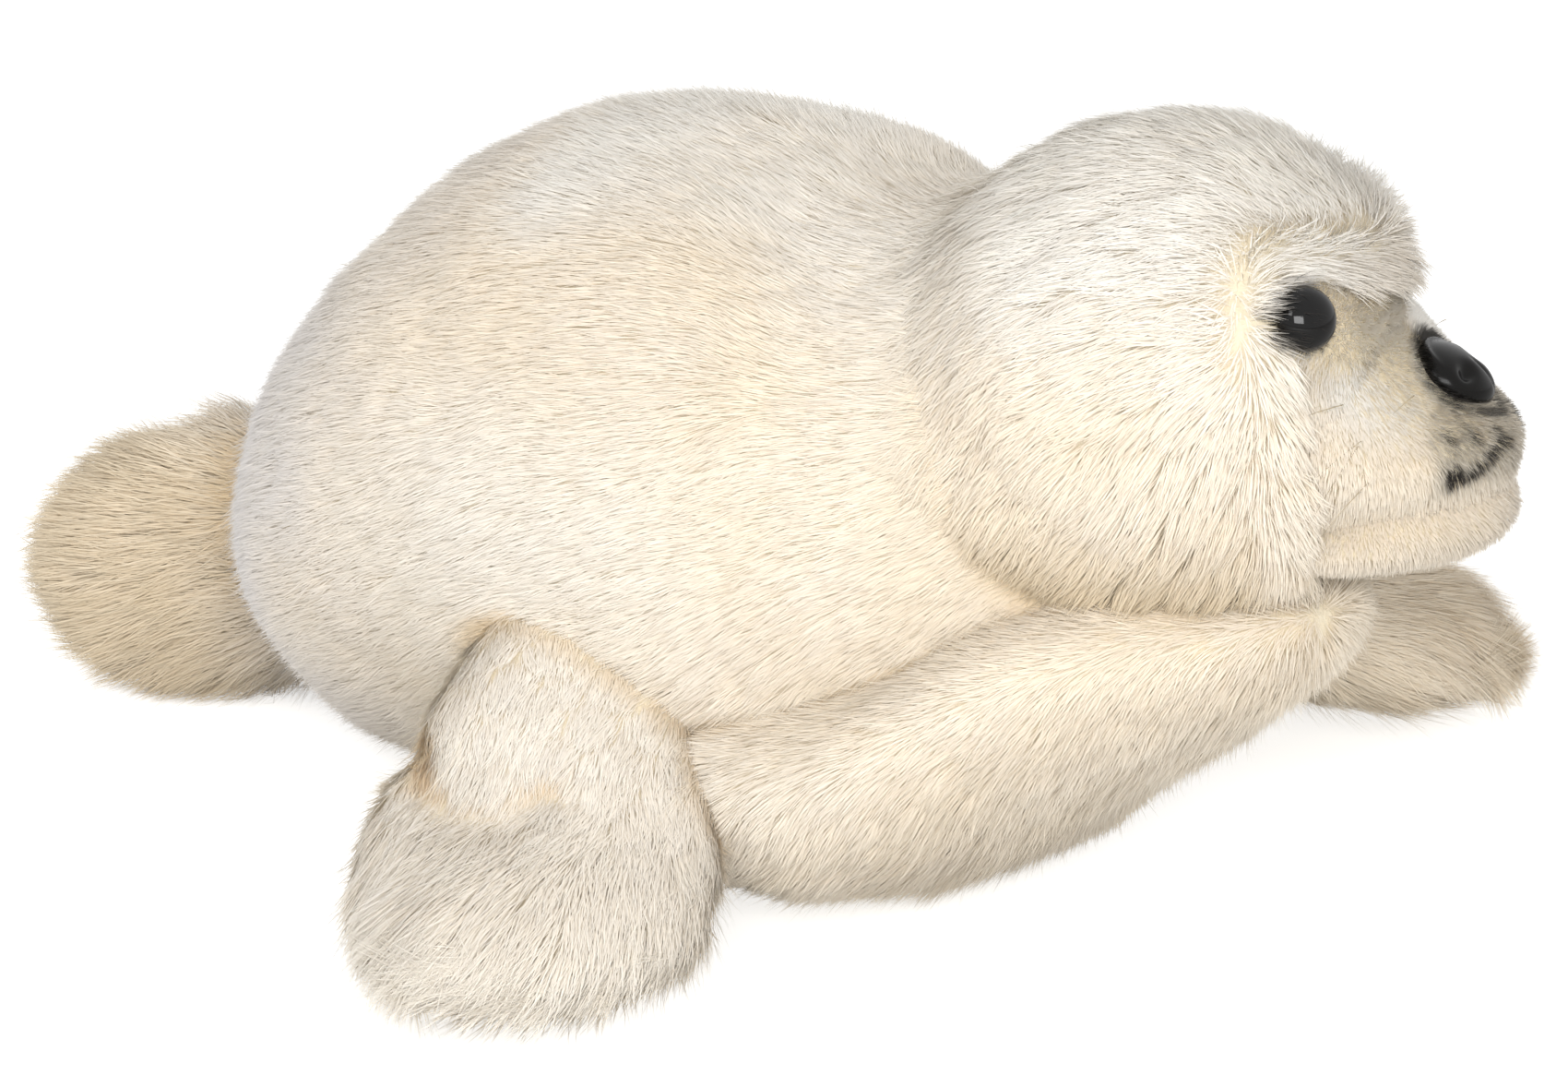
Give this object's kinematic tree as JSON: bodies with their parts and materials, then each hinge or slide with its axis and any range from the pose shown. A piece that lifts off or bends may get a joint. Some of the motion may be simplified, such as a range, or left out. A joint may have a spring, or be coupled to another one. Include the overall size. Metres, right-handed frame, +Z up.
{
  "type": "plush seal",
  "caption": "Stuffed seal pup in long cream pile, lying on its belly with its head turned, with glossy eyes and nose.",
  "frame": {"origin": "on the table, under the trunk, where the belly rests", "axes": "+X from the tail towards the chest, +Y to the seal's left, +Z up"},
  "size_m": [0.4057, 0.3538, 0.1913],
  "materials": {
    "long_pile": "long combed pile",
    "short_pile": "short pile",
    "filling": "polyester fibre filling",
    "black_plastic": "gloss",
    "washer_plastic": "matt",
    "nylon": "semi-clear"
  },
  "bodies": {
    "root": {"back_skin": "long_pile", "belly_skin": "long_pile", "head_skin": "long_pile", "muzzle_skin": "short_pile", "lower_jaw_skin": "short_pile", "front_flipper_left_skin": "long_pile", "front_flipper_right_skin": "long_pile", "rear_flipper_left_skin": "long_pile", "rear_flipper_right_skin": "long_pile", "trunk_filling": "filling", "head_filling": "filling", "muzzle_filling": "filling", "lower_jaw_filling": "filling", "front_flipper_left_filling": "filling", "front_flipper_right_filling": "filling", "rear_flipper_left_filling": "filling", "rear_flipper_right_filling": "filling", "eye_left": "black_plastic", "eye_right": "black_plastic", "nose": "black_plastic", "eye_left_washer": "washer_plastic", "eye_right_washer": "washer_plastic", "nose_washer": "washer_plastic", "whisker_thread_1": "nylon", "whisker_thread_2": "nylon", "whisker_thread_3": "nylon"}
  },
  "joints": []
}
